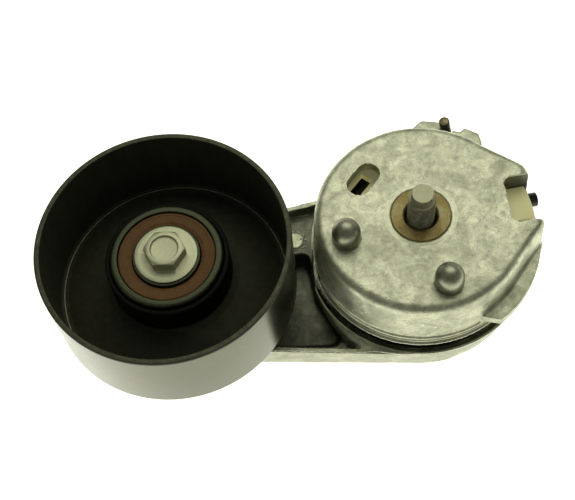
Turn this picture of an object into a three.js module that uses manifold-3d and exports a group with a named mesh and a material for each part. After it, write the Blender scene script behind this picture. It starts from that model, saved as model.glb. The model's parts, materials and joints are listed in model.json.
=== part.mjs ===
// Spring-loaded belt tensioner with an idler pulley.
// Millimetres. +Z is the pivot axis and points out of the mounting face towards the engine.
// The origin is the pivot axis at the mounting face. The arm lies along -X.

import * as THREE from 'three';
import { mergeVertices } from 'three/addons/utils/BufferGeometryUtils.js';
import Module from 'manifold-3d';

const wasm = await Module();
wasm.setup();

// ---------- driving dimensions ----------

const GAP = 0.3; // clearance between neighbouring pieces

const CENTRE_DISTANCE = 92.3; // pivot axis to pulley axis

const pulley = {
  radius: 45,
  sheet: 2,
  top: 15.6,
  bottom: -19.8,
  webAtHub: -9.8,
  collarRadius: 22.2,
  collarTop: 3.6,
};

// 17 x 40 x 12 deep groove ball bearing
const bearing = {
  bore: 8.5,
  innerShoulder: 12.1,
  outerLand: 16.6,
  sealSeat: 17.5,
  radius: 20,
  width: 12,
  middle: 0.5,
  pitch: 14.25,
  ball: 3.1,
  balls: 8,
};

const pulleyBolt = {
  shank: 4,
  flange: 11.2,
  flangeRim: 0.5,
  flat: 13,
  turn: -11.5,
  headTop: 11.9,
  dish: 5.1,
  dishDepth: 0.4,
  tip: -34,
};

const springCase = {
  plate: 4.5,
  faceRadius: 38.8,
  rimRadius: 40.5,
  rimTop: -19.5,
  bottom: -24.2,
  cavity: 36.5,
  fillet: 3.5,
};

// the lobe that carries the spring window
const lobe = { topRadius: 43, flangeRadius: 45, ledge: -15, flangeBottom: -19.2 };
const springWindow = { left: 31.6, low: -10.4, high: 8.6, bottom: -18.6 };
const sightSlot = { x: -17, y: 19.1, length: 14.2, width: 8.4, angle: 42 };

// rim grooves, and the boss with two lugs that holds the lock pin between them
const rimGrooves = { heights: [-20.6, -22.6], depth: 0.7, width: 0.9, lobeSide: 30 };
const rimNotch = { from: 173.5, to: 192 }; // beside the arm's channel
const boss = { from: 45, to: 79.5, foot: 39, web: 47.6, tip: 50, top: -14, notchFrom: 57, notchTo: 63 };

const dowel = { radius: 5.2, straight: 4, ring: 28.4, angles: [187, 276.5], depth: 3.2 };

const tube = { radius: 11, bore: 6, bottom: -38.6 };
const bushing = { radius: 13, top: -8.5, bottom: -34.6 };
const retainer = { radius: 15.5, top: -35.2, bottom: -37.6 };
const mountingBolt = {
  shank: 5,
  chamfer: 1.2,
  flange: 11,
  flangeThickness: 2,
  flat: 15,
  tip: 14.9,
  seat: -38.9,
  headBottom: -46.2,
};

const arm = {
  bottom: -46.5,
  top: -28,
  ledge: -33,
  floor: -42.2,
  ringTop: -27,
  ringRadius: 43.2,
  footRadius: 39.7,
  hubRadius: 17,
  hubTop: -7.5,
  counterbore: 16.3,
  pulleyEnd: 22,
  pulleyEndFoot: 20,
  bossRadius: 13,
  bossShoulder: -14,
  bossNeck: 11.4,
  ringStep: -31,
  ringStepRadius: 41.5,
  wallThickness: 2.4,
  counterboreTop: -34.9,
};
const dateDisc = { x: -46.5, y: 18, radius: 3.6, top: -32.2 };
const stopLug = { from: 64.4, to: 74.5, foot: 40, tip: 51.5, bottom: -38, top: -27.5 };

const spring = {
  wire: 5.5,
  coil: 29,
  bottom: -39.15,
  top: -15.7,
  turns: 3.95,
  tangReach: 46.5,
  tangY: 5.4,
};
const seat = {
  top: -9,
  bottom: -12.2,
  radius: 36.1,
  inner: 17.6,
  sleeve: 25,
  sleeveWall: 2.2,
  sleeveBottom: -36,
};

const lockPin = { radius: 2, length: 26.5, lean: 10, foot: new THREE.Vector3(24.1, 41.5, -33.1) };

// ---------- small helpers ----------

const rad = THREE.MathUtils.degToRad;
const polar = (radius, degrees) => [radius * Math.cos(rad(degrees)), radius * Math.sin(rad(degrees))];

function arc(cx, cy, radius, from, to, steps) {
  const points = [];
  for (let i = 0; i <= steps; i++) {
    const [x, y] = polar(radius, from + ((to - from) * i) / steps);
    points.push([cx + x, cy + y]);
  }
  return points;
}

function shapeOf(points) {
  return new THREE.Shape(points.map(([x, y]) => new THREE.Vector2(x, y)));
}

// a prism of an outline between two heights
function prism(points, z0, z1) {
  const geometry = new THREE.ExtrudeGeometry(shapeOf(points), { depth: z1 - z0, bevelEnabled: false });
  return geometry.translate(0, 0, z0);
}

// a solid of revolution about Z from [radius, z] pairs that close on themselves
function turned(profile, segments) {
  const closed = [...profile, profile[0]].map(([r, z]) => new THREE.Vector2(r, z));
  return new THREE.LatheGeometry(closed, segments).rotateX(Math.PI / 2);
}

// a solid of revolution whose profile starts and ends on the axis
function turnedOnAxis(profile, segments) {
  const points = profile.map(([r, z]) => new THREE.Vector2(r, z));
  return new THREE.LatheGeometry(points, segments).rotateX(Math.PI / 2);
}

// a solid through outlines with equal point counts, stacked in z
function loft(levels) {
  const count = levels[0].points.length;
  const positions = levels.flatMap(({ z, points }) => points.flatMap(([x, y]) => [x, y, z]));
  const index = [];
  for (let k = 0; k + 1 < levels.length; k++) {
    for (let i = 0; i < count; i++) {
      const a = k * count + i;
      const b = k * count + ((i + 1) % count);
      index.push(a, b, b + count, a, b + count, a + count);
    }
  }
  const outline = levels[0].points.map(([x, y]) => new THREE.Vector2(x, y));
  const caps = THREE.ShapeUtils.triangulateShape(outline, []);
  const last = (levels.length - 1) * count;
  for (const [a, b, c] of caps) {
    index.push(a, c, b);
    index.push(last + a, last + b, last + c);
  }
  const geometry = new THREE.BufferGeometry();
  geometry.setAttribute('position', new THREE.Float32BufferAttribute(positions, 3));
  geometry.setIndex(index);
  return geometry;
}

function solid(geometry) {
  const bare = geometry.clone();
  bare.deleteAttribute('normal');
  bare.deleteAttribute('uv');
  const merged = mergeVertices(bare, 1e-4);
  const triVerts = [];
  const index = merged.index.array;
  for (let i = 0; i < index.length; i += 3) {
    const [a, b, c] = [index[i], index[i + 1], index[i + 2]];
    if (a !== b && b !== c && c !== a) triVerts.push(a, b, c);
  }
  const mesh = new wasm.Mesh({
    numProp: 3,
    vertProperties: new Float32Array(merged.attributes.position.array),
    triVerts: new Uint32Array(triVerts),
  });
  mesh.merge();
  const body = new wasm.Manifold(mesh);
  return body.volume() < 0 ? solid(flipped(geometry)) : body;
}

function flipped(geometry) {
  const copy = geometry.index ? geometry.clone() : mergeVertices(geometry);
  const index = copy.index.array;
  for (let i = 0; i < index.length; i += 3) [index[i], index[i + 1]] = [index[i + 1], index[i]];
  return copy;
}

function geometryOf(body) {
  const { vertProperties, triVerts } = body.getMesh();
  const geometry = new THREE.BufferGeometry();
  geometry.setAttribute('position', new THREE.BufferAttribute(vertProperties, 3));
  geometry.setIndex(new THREE.BufferAttribute(triVerts, 1));
  const flat = geometry.toNonIndexed();
  flat.computeVertexNormals();
  return flat;
}

function ring(inner, outer, z0, z1, segments) {
  return solid(turned([[inner, z0], [outer, z0], [outer, z1], [inner, z1]], segments));
}

function disc(radius, z0, z1, segments) {
  return solid(turnedOnAxis([[0, z0], [radius, z0], [radius, z1], [0, z1]], segments));
}

const finishes = {
  castAluminium: { color: 0x9fa487, roughness: 0.55, metalness: 0.8 },
  steel: { color: 0x8d907c, roughness: 0.35, metalness: 1 },
  polishedSteel: { color: 0xb8bba6, roughness: 0.2, metalness: 1 },
  blackSteel: { color: 0x1b1b15, roughness: 0.45, metalness: 0.6 },
  darkSteel: { color: 0x3a3a30, roughness: 0.4, metalness: 0.9 },
  yellowZinc: { color: 0x8f7a45, roughness: 0.4, metalness: 0.8 },
  zincFlake: { color: 0xa5aa87, roughness: 0.6, metalness: 0.6 },
  nylon: { color: 0xbeb97a, roughness: 0.5, metalness: 0 },
  blackNylon: { color: 0x20201c, roughness: 0.6, metalness: 0 },
  brownRubber: { color: 0x5c422a, roughness: 0.7, metalness: 0 },
  bronze: { color: 0x8a6a3a, roughness: 0.4, metalness: 0.9 },
};

const group = new THREE.Group();

function place(name, body, finish, x = 0, y = 0, z = 0) {
  const mesh = new THREE.Mesh(geometryOf(body), new THREE.MeshStandardMaterial(finishes[finish]));
  mesh.name = name;
  mesh.position.set(x, y, z);
  group.add(mesh);
  return mesh;
}

const placeOnPulleyAxis = (name, body, finish) => place(name, body, finish, -CENTRE_DISTANCE);

// ---------- spring case ----------

// outline of the case: round, with a lobe towards +X; grow moves every side outwards
function caseOutline(grow) {
  const round = springCase.faceRadius + grow;
  const tip = lobe.topRadius + grow;
  return [
    ...arc(0, 0, round, 40, 313, 48),
    [41.2 + grow, -14.6],
    [tip - 0.2, -12.6],
    [tip, 8.6],
    ...arc(tip - 5, 10.2, 5, 5, 50, 4),
  ];
}

function caseBody() {
  const levels = [];
  const roundingSteps = 4;
  for (let i = 0; i <= roundingSteps; i++) {
    const a = (Math.PI / 2) * (i / roundingSteps);
    const inset = springCase.fillet * (1 - Math.sin(a));
    levels.push({ z: -springCase.fillet * (1 - Math.cos(a)), points: caseOutline(-inset) });
  }
  const draft = 0.8;
  const rim = springCase.rimRadius - springCase.faceRadius;
  levels.push({ z: springCase.rimTop + 0.3, points: caseOutline(draft) });
  levels.push({ z: springCase.rimTop, points: caseOutline(rim) });
  levels.push({ z: springCase.bottom, points: caseOutline(rim) });
  return solid(loft(levels.reverse()));
}

// the flat flange that runs round the lobe, lower than the mounting face
function caseFlange() {
  const inner = springCase.cavity + GAP;
  const outline = [...arc(0, 0, lobe.flangeRadius, -63, 14, 16), ...arc(0, 0, inner, 14, -75, 10)];
  return solid(prism(outline, lobe.flangeBottom, lobe.ledge));
}

// two lugs on one boss, with the lock pin in the notch between them
function lockPinBoss() {
  const { from, to, foot, web, tip, top, notchFrom, notchTo } = boss;
  const corner = 4;
  const outline = [
    polar(foot, to + 3),
    polar(foot, from - 3),
    polar(web - 1, from),
    polar(tip, from + corner),
    polar(tip, notchFrom - 1),
    polar(web, notchFrom),
    polar(web, notchTo),
    polar(tip, notchTo + corner),
    polar(tip, to - corner),
    polar(web - 1, to),
  ];
  return solid(prism(outline, springCase.bottom, top));
}

function sightSlotPrism(z0, z1) {
  const end = sightSlot.width / 2;
  const half = (sightSlot.length - sightSlot.width) / 2;
  const outline = [...arc(half, 0, end, -90, 90, 8), ...arc(-half, 0, end, 90, 270, 8)];
  const geometry = prism(outline, z0, z1);
  return solid(geometry.rotateZ(rad(sightSlot.angle)).translate(sightSlot.x, sightSlot.y, 0));
}

function caseWindow() {
  const { left, low, high, bottom } = springWindow;
  const corner = 1.5;
  const outside = 60;
  const outline = [
    [left, low + corner],
    [left + corner, low],
    [outside, low],
    [outside, high],
    [left + corner, high],
    [left, high - corner],
  ];
  return solid(prism(outline, bottom, 5));
}

// a groove round the rim, left out on the side of the lobe
function rimGroove(z) {
  const { depth, width, lobeSide } = rimGrooves;
  const inner = springCase.rimRadius - depth;
  const groove = ring(inner, 60, z - width / 2, z + width / 2, 64);
  const clearOfLobe = prism([[-60, -60], [lobeSide, -60], [lobeSide, 60], [-60, 60]], z - 2, z + 2);
  return groove.intersect(solid(clearOfLobe));
}

// the gap in the rim, cut back to the wall
function rimNotchCut() {
  const { from, to } = rimNotch;
  const wall = springCase.faceRadius + 0.8;
  const outline = [...arc(0, 0, 60, from, to, 4), ...arc(0, 0, wall, to, from, 6)];
  return solid(prism(outline, springCase.bottom - 1, springCase.rimTop + 0.3));
}

function lockPinDirection() {
  return new THREE.Vector3(-Math.sin(rad(lockPin.lean)), 0, Math.cos(rad(lockPin.lean)));
}

// the pin's axis runs up from its foot; extra makes the bore that it needs
function lockPinSolid(extra) {
  const length = lockPin.length + 8 * extra;
  const geometry = new THREE.CylinderGeometry(lockPin.radius + extra, lockPin.radius + extra, length, 16);
  geometry.rotateX(Math.PI / 2).translate(0, 0, lockPin.length / 2);
  const turn = new THREE.Quaternion().setFromUnitVectors(new THREE.Vector3(0, 0, 1), lockPinDirection());
  geometry.applyQuaternion(turn);
  const start = lockPin.foot;
  return solid(geometry.translate(start.x, start.y, start.z));
}

function makeSpringCase() {
  const { cavity, plate, bottom } = springCase;
  let body = caseBody().add(caseFlange()).add(lockPinBoss());
  const corner = 2;
  const hollow = [
    [0, bottom - 1],
    [cavity, bottom - 1],
    [cavity, -plate - corner],
    [cavity - corner, -plate],
    [0, -plate],
  ];
  body = body.subtract(solid(turnedOnAxis(hollow, 56)));
  body = body.subtract(disc(tube.radius + GAP, -plate - 1, 1, 40));
  body = body.subtract(sightSlotPrism(-plate - 1, 1)).subtract(caseWindow());
  for (const degrees of dowel.angles) {
    const [x, y] = polar(dowel.ring, degrees);
    const hole = disc(dowel.radius + GAP, -dowel.depth - GAP, 1, 24);
    body = body.subtract(hole.translate([x, y, 0]));
  }
  body = body.subtract(lockPinSolid(GAP));
  for (const z of rimGrooves.heights) body = body.subtract(rimGroove(z));
  body = body.subtract(rimNotchCut());
  place('spring_case', body, 'castAluminium');
}

function makeDowels() {
  const { radius, straight, depth } = dowel;
  const dome = arc(0, straight, radius, 90, 0, 5).map(([r, z]) => [Math.max(r, 0), z]);
  const profile = [[0, -depth], [radius, -depth], ...dome.reverse()];
  profile[profile.length - 1] = [0, straight + radius];
  dowel.angles.forEach((degrees, i) => {
    const [x, y] = polar(dowel.ring, degrees);
    place(`locating_dowel_${i + 1}`, solid(turnedOnAxis(profile, 20)), 'steel', x, y);
  });
}

// ---------- pivot ----------

function makePivotTube() {
  const { radius, bore, bottom } = tube;
  const lip = radius + 1.6;
  const profile = [
    [bore, bottom],
    [lip, bottom],
    [lip, retainer.bottom - GAP],
    [radius, retainer.bottom - GAP],
    [radius, 0],
    [bore + 0.5, 0],
    [bore, -0.5],
  ];
  place('pivot_tube', solid(turned(profile, 36)), 'yellowZinc');
}

function makePivotRings() {
  const free = tube.radius + GAP;
  place('retaining_washer', ring(free, retainer.radius, retainer.bottom, retainer.top, 36), 'steel');
  place('thrust_washer', ring(free + 0.3, arm.hubRadius, -7.2, -4.8, 36), 'blackNylon');
  place('pivot_bushing', ring(free, bushing.radius, bushing.bottom, bushing.top, 36), 'bronze');
  place('friction_ring', ring(36.4, 39.2, arm.ringStep + GAP, springCase.bottom - GAP, 56), 'blackNylon');
}

function hexPrism(flat, z0, z1, turn = 0) {
  const corner = flat / 2 / Math.cos(Math.PI / 6);
  return solid(prism(arc(0, 0, corner, turn, turn + 300, 5), z0, z1));
}

function makeMountingBolt() {
  const { shank, chamfer, flange, flangeThickness, flat, tip, seat: bearingFace, headBottom } = mountingBolt;
  const flangeBottom = bearingFace - flangeThickness;
  const profile = [
    [0, flangeBottom],
    [flange, flangeBottom],
    [flange, bearingFace],
    [shank, bearingFace],
    [shank, tip - chamfer],
    [shank - chamfer, tip],
    [0, tip],
  ];
  const body = solid(turnedOnAxis(profile, 28)).add(hexPrism(flat, headBottom, flangeBottom + 0.1));
  place('mounting_bolt', body, 'steel');
}

function makeLockPin() {
  place('lock_pin', lockPinSolid(0), 'darkSteel');
}

// ---------- torsion spring and its nylon seat ----------

function springPath() {
  const { coil, bottom, top, turns, tangReach, tangY } = spring;
  const points = [];
  const startAngle = 360 * (1 - (turns % 1)) - 18;
  const steps = Math.round(turns * 16);
  for (let i = 0; i <= steps; i++) {
    const t = i / steps;
    const [x, y] = polar(coil, startAngle + 360 * turns * t);
    points.push(new THREE.Vector3(x, y, bottom + (top - bottom) * Math.min(1, Math.max(0, 1.12 * t - 0.06))));
  }
  const bend = 5.5;
  const bendX = Math.sqrt(coil * coil - tangY * tangY) + bend;
  for (const degrees of [60, 30, 0]) {
    const [dx, dy] = [-bend * Math.sin(rad(degrees)), bend * (Math.cos(rad(degrees)) - 1)];
    points.push(new THREE.Vector3(bendX + dx - 1, tangY + dy, top));
  }
  points.push(new THREE.Vector3((bendX + tangReach) / 2, tangY, top));
  points.push(new THREE.Vector3(tangReach, tangY, top));
  return new THREE.CatmullRomCurve3(points, false, 'centripetal');
}

function makeTorsionSpring() {
  const section = shapeOf(arc(0, 0, spring.wire / 2, 0, 315, 7));
  const options = { steps: 72, bevelEnabled: false, extrudePath: springPath() };
  place('torsion_spring', solid(new THREE.ExtrudeGeometry(section, options)), 'darkSteel');
}

function makeSpringSeat() {
  const plate = ring(seat.inner, seat.radius, seat.bottom, seat.top, 48);
  const sleeve = ring(seat.sleeve - seat.sleeveWall, seat.sleeve, seat.sleeveBottom, seat.bottom + 0.1, 40);
  const tabOutline = [[30, -5.2], [40.6, -5.2], [41.9, 2], [42.1, 8.2], [30, 8.2]];
  const tab = solid(prism(tabOutline, seat.bottom, seat.top));
  const viewHole = [[-5.5, -2.4], [4.5, -2.4], [4.5, 2.6], [-5.5, 2.6]];
  const hole = prism(viewHole, seat.bottom - 1, seat.top + 1);
  hole.rotateZ(rad(sightSlot.angle)).translate(sightSlot.x - 2.3, sightSlot.y + 1.4, 0);
  place('spring_seat', plate.add(sleeve).add(tab).subtract(solid(hole)), 'nylon');
}

// ---------- arm ----------

// plan outline of the arm between the pivot ring and the pulley end, inset from its edge
function armOutline(pivotRadius, endRadius, inset) {
  const r1 = pivotRadius - inset;
  const r2 = endRadius - inset;
  const lower = THREE.MathUtils.radToDeg(Math.asin((r1 - r2) / CENTRE_DISTANCE));
  return [
    ...arc(-CENTRE_DISTANCE, 0, r2, 97, 270 - lower, 14),
    ...arc(0, 0, r1, 270 - lower, 276, 2),
    [0, 0],
    [-20, 31 - inset],
    [-46, 29.3 - inset],
  ];
}

function makeArm() {
  const { bottom, top, ledge, floor, ringTop, ringRadius, footRadius, hubRadius, ringStep } = arm;
  const below = bottom - 1;
  const levels = [
    { z: bottom, points: armOutline(footRadius - 1.5, arm.pulleyEndFoot - 1.5, 0) },
    { z: bottom + 1.5, points: armOutline(footRadius, arm.pulleyEndFoot, 0) },
    { z: top, points: armOutline(ringRadius, arm.pulleyEnd, 0) },
  ];
  let body = solid(loft(levels));

  const cup = [
    [0, bottom],
    [footRadius - 2, bottom],
    [footRadius, bottom + 2],
    [ringRadius, ringTop],
    [0, ringTop],
  ];
  body = body.add(solid(turnedOnAxis(cup, 64)));

  // shallow ledge and deep pocket of the channel, clear of the ring and of the pulley boss
  const flare = arc(4, -6, 45.3, 0, 354, 59);
  const ringEdge = arc(0, 0, ringRadius - 0.6, 0, 354, 59);
  const keep = solid(loft([
    { z: below, points: flare },
    { z: ledge, points: flare },
    { z: ringTop, points: ringEdge },
    { z: 0, points: ringEdge },
  ]));
  const bossKeep = disc(arm.bossRadius + 1.5, below, 0, 32).translate([-CENTRE_DISTANCE, 0, 0]);
  const shallow = solid(prism(armOutline(ringRadius, arm.pulleyEnd, arm.wallThickness), ledge, 0));
  body = body.subtract(shallow.subtract(keep).subtract(bossKeep));
  const pocketMouth = [
    [-79, -19],
    [-76.5, -22.5],
    [-39.5, -30],
    [-35, -27.5],
    [-40.8, -8],
    [-40.8, 10.5],
    [-76, 10.5],
    [-79, 8],
  ];
  const pocketFloor = [
    [-76, -17],
    [-74, -19.5],
    [-39, -25.6],
    [-36, -23.5],
    [-41.5, -7],
    [-41.5, 9],
    [-74, 9],
    [-76, 6.5],
  ];
  body = body.subtract(solid(loft([
    { z: floor, points: pocketFloor },
    { z: ledge, points: pocketMouth },
    { z: ledge + 1, points: pocketMouth },
  ])));

  // spring cavity with its step for the friction ring, and the hub that turns on the tube
  const cavityRadius = springCase.cavity - 0.5;
  const cavity = [
    [hubRadius, floor],
    [cavityRadius, floor],
    [cavityRadius, ringStep],
    [arm.ringStepRadius - 0.3, ringStep],
    [arm.ringStepRadius + 0.4, ringTop + 1],
    [hubRadius, ringTop + 1],
  ];
  body = body.subtract(solid(turned(cavity, 56)));
  body = body.add(ring(bushing.radius - 1, hubRadius, floor, arm.hubTop, 40));
  body = body.subtract(disc(bushing.radius + GAP, below, 0, 36));
  body = body.subtract(disc(arm.counterbore, below, arm.counterboreTop, 36));

  // where the ring opens into the channel
  const mouth = [[-60, -6.8], [-38, -6.8], [-38, 10], [-60, 10]];
  body = body.subtract(solid(prism(mouth, ringStep, 0)));

  // pulley boss with its bolt hole
  const seatHeight = bearing.middle - bearing.width / 2 - GAP;
  const { bossRadius, bossShoulder, bossNeck } = arm;
  const pulleyBoss = [
    [0, bottom],
    [bossRadius, bottom],
    [bossRadius, bossShoulder],
    [bossNeck, bossShoulder + 4],
    [bossNeck, seatHeight],
    [0, seatHeight],
  ];
  body = body.add(solid(turnedOnAxis(pulleyBoss, 36).translate(-CENTRE_DISTANCE, 0, 0)));
  const boltHole = disc(pulleyBolt.shank + GAP, pulleyBolt.tip - 2, 0, 24);
  body = body.subtract(boltHole.translate([-CENTRE_DISTANCE, 0, 0]));

  // date disc in the channel, and the stop lug that bears on the lock pin
  body = body.add(disc(dateDisc.radius, floor, dateDisc.top, 20).translate([dateDisc.x, dateDisc.y, 0]));
  const lug = [
    polar(stopLug.foot, stopLug.to),
    polar(stopLug.foot, stopLug.from),
    polar(stopLug.tip, stopLug.from),
    polar(stopLug.tip, stopLug.to - 4),
  ];
  body = body.add(solid(prism(lug, stopLug.bottom, stopLug.top)));
  place('arm', body, 'castAluminium');
}

// ---------- pulley and bearing ----------

function makePulleyShell() {
  const { radius, sheet, top, bottom, webAtHub, collarRadius, collarTop } = pulley;
  const housing = bearing.radius + GAP;
  const seatHeight = bearing.middle - bearing.width / 2 - GAP;
  const profile = [
    [housing, collarTop],
    [housing, seatHeight],
    [bearing.radius - 1.6, seatHeight],
    [bearing.radius - 1.6, seatHeight - sheet],
    [collarRadius + 1.5, webAtHub - sheet],
    [radius - 5, bottom],
    [radius - 2, bottom],
    [radius - 0.6, bottom + 0.6],
    [radius, bottom + 2],
    [radius, top],
    [radius - sheet, top],
    [radius - sheet, bottom + sheet + 1],
    [radius - sheet - 1, bottom + sheet],
    [radius - 5, bottom + sheet],
    [collarRadius + 2.2, webAtHub],
    [collarRadius, webAtHub + 1.8],
    [collarRadius, collarTop],
  ];
  placeOnPulleyAxis('pulley_shell', solid(turned(profile, 64)), 'polishedSteel');
}

// a race groove as seen in the half section of a bearing ring
function groove(centre, side) {
  const depth = bearing.ball + GAP;
  return [-48, 0, 48].map((a) => {
    const z = bearing.middle + depth * Math.sin(rad(a));
    return [centre + side * depth * Math.cos(rad(a)), z];
  });
}

function makeBearing() {
  const { bore, innerShoulder, outerLand, sealSeat, radius, width, middle, pitch, ball, balls } = bearing;
  const low = middle - width / 2;
  const high = middle + width / 2;
  const step = 2.3;
  const outer = [
    [sealSeat, low],
    [radius, low],
    [radius, high],
    [sealSeat, high],
    [sealSeat, high - step],
    [outerLand, high - step],
    ...groove(pitch, 1).reverse(),
    [outerLand, low + step],
    [sealSeat, low + step],
  ];
  const inner = [
    [bore, low],
    [innerShoulder, low],
    ...groove(pitch, -1),
    [innerShoulder, high],
    [bore, high],
  ];
  placeOnPulleyAxis('bearing_outer_ring', solid(turned(outer, 48)), 'steel');
  placeOnPulleyAxis('bearing_inner_ring', solid(turned(inner, 40)), 'steel');
  const sealRing = (z0, z1) => ring(innerShoulder + GAP, sealSeat - GAP, z0, z1, 40);
  placeOnPulleyAxis('front_seal', sealRing(high - 1.8, high - 0.5), 'brownRubber');
  placeOnPulleyAxis('rear_seal', sealRing(low + 0.5, low + 1.8), 'brownRubber');

  let cage = ring(13.1, 15.4, middle - 3.4, middle + 3.4, 24);
  for (let i = 0; i < balls; i++) {
    const [x, y] = polar(pitch, (360 * i) / balls);
    const pocket = new THREE.SphereGeometry(ball + GAP, 8, 6).translate(x, y, middle);
    cage = cage.subtract(solid(pocket));
    const sphere = new THREE.SphereGeometry(ball, 10, 7);
    place(`bearing_ball_${i + 1}`, solid(sphere), 'polishedSteel', x - CENTRE_DISTANCE, y, middle);
  }
  placeOnPulleyAxis('ball_cage', cage, 'blackNylon');

  placeOnPulleyAxis('pulley_spacer', ring(pulleyBolt.shank + GAP, bore - GAP, low, high, 28), 'steel');
}

function makePulleyBolt() {
  const { shank, flange, flangeRim, flat, turn, headTop, dish, dishDepth, tip } = pulleyBolt;
  const under = bearing.middle + bearing.width / 2 + GAP;
  const profile = [
    [0, tip],
    [shank, tip],
    [shank, under],
    [flange, under],
    [flange, under + flangeRim],
    [0, under + flangeRim],
  ];
  const chamfered = turnedOnAxis([[0, under], [flange, under], [flat / 2, headTop], [0, headTop]], 32);
  const head = hexPrism(flat, under, headTop, turn).intersect(solid(chamfered));
  const recess = disc(dish, headTop - dishDepth, headTop + 1, 28);
  const body = solid(turnedOnAxis(profile, 32)).add(head).subtract(recess);
  placeOnPulleyAxis('pulley_bolt', body, 'zincFlake');
}

makeSpringCase();
makeDowels();
makePivotTube();
makePivotRings();
makeMountingBolt();
makeLockPin();
makeTorsionSpring();
makeSpringSeat();
makeArm();
makePulleyShell();
makeBearing();
makePulleyBolt();

export default group;
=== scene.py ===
"""Belt tensioner idler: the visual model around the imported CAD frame.

Metres, +Z along the pivot axis towards the engine, arm along -X. Shapes are drawn in millimetres
and scaled when a mesh is made.
"""

import json
import math

import bmesh
import bpy
from mathutils import Matrix, Vector, noise


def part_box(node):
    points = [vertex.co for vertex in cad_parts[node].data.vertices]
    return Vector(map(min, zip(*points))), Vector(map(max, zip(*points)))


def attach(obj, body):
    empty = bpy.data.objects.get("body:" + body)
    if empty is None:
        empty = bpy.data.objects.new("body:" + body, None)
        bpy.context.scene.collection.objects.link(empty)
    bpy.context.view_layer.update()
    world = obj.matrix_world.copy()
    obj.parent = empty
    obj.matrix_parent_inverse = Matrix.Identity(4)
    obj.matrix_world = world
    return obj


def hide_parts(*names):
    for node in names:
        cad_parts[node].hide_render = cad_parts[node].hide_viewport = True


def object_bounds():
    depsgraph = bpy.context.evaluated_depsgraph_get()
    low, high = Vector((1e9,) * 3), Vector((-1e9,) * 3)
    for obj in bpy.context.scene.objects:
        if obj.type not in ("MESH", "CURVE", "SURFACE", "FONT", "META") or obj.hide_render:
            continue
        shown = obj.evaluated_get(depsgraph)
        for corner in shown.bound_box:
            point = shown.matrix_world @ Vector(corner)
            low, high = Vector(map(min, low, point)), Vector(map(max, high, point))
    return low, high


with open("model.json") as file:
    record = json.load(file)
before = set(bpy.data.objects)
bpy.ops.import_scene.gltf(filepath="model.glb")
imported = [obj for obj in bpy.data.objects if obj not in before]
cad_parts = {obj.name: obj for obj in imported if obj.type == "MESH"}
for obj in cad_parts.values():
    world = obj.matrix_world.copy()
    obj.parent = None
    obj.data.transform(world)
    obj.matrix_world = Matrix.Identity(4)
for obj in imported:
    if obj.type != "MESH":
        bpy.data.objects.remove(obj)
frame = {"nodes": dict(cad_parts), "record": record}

MM = 0.001
cad_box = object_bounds()


# ---------- sizes from the frame, in millimetres ----------

def find_joint(name):
    return next(j for j in frame["record"]["behaviour"]["joints"] if j["name"] == name)


def box_mm(node):
    low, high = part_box(node)
    return Vector(low) / MM, Vector(high) / MM


PULLEY_X = find_joint("pulley_spin")["pos_m"][0] / MM
PULLEY_CENTRE = (PULLEY_X, 0, 0)
PULLEY_LOW, PULLEY_HIGH = box_mm("pulley_shell")
PULLEY_RADIUS = (PULLEY_HIGH.y - PULLEY_LOW.y) / 2
BEARING_LOW, BEARING_HIGH = box_mm("bearing_outer_ring")
BEARING_RADIUS = (BEARING_HIGH.y - BEARING_LOW.y) / 2
BOLT_LOW, BOLT_HIGH = box_mm("pulley_bolt")
BOLT_FLANGE_RADIUS = (BOLT_HIGH.y - BOLT_LOW.y) / 2
STUD_HIGH = box_mm("mounting_bolt")[1].z
CASE_LOW = box_mm("spring_case")[0]
FLOOR = cad_box[0][2] / MM
TUBE_LOW, TUBE_HIGH = box_mm("pivot_tube")
DOWELS = ["locating_dowel_1", "locating_dowel_2"]

# the rest of the shape, in millimetres; the lobe is the part of the case that holds the spring window
CASE = {
    "face": 38.8, "draft": 0.8, "fillet": 3.5, "rim": 40.5, "rim_top": -19.5,
    "cavity": 36.5, "plate": 4.5,
}
LOBE = {"tip": 43.0, "flange": 45.0, "ledge": -15.0, "flange_bottom": -19.2}
WINDOW = {"left": 31.6, "low": -10.4, "high": 8.6, "bottom": -18.6}
SLOT = {"x": -17.0, "y": 19.1, "length": 14.2, "width": 8.4, "angle": 42.0}
TUBE_RADIUS = 11.0
TUBE_BORE = 6.0
STUD_RADIUS = 5.0
THREAD_PITCH = 1.25
DOG_POINT = 3.7
DOWEL_RADIUS = 5.2
SHEET = 2.0

# the arm, in millimetres: radii of its cup and of its pulley end, at the top and at the foot
CUP = 43.2
CUP_FOOT = 39.7
END = 22.0
END_FOOT = 20.0
FOOT_ROUND = 1.5
# its heights
ARM_TOP = -28.0
CUP_TOP = -27.0
CUP_STEP = -31.0
CHANNEL_LEDGE = -33.0
CHANNEL_FLOOR = -42.2
# its channel: where it ends beside the cup, the wall beside it, and the cast disc in it
CHANNEL_END = -27.0
WALL = 2.4
DISC_X = -45.0
DISC_Y = 16.6
# the circle in which the cup's side of the channel meets the ledge
FLARE_X = 4.0
FLARE_Y = -6.0
FLARE_RADIUS = 45.3
# the two corners of its back edge, between the cup and the pulley end
BACK_NEAR = (-20.0, 31.0)
BACK_FAR = (-46.0, 29.3)
# where the back edge meets the pulley end, in degrees round it
BACK_END_ANGLE = 97
# how far its front wall turns from the X axis
FRONT_LEAN = math.asin((CUP - END) / -PULLEY_X)


# ---------- small mesh helpers ----------

def polar(radius, degrees):
    angle = math.radians(degrees)
    return (radius * math.cos(angle), radius * math.sin(angle))


def arc(cx, cy, radius, start, end, steps):
    points = []
    for i in range(steps + 1):
        x, y = polar(radius, start + (end - start) * i / steps)
        points.append((cx + x, cy + y))
    return points


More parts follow.
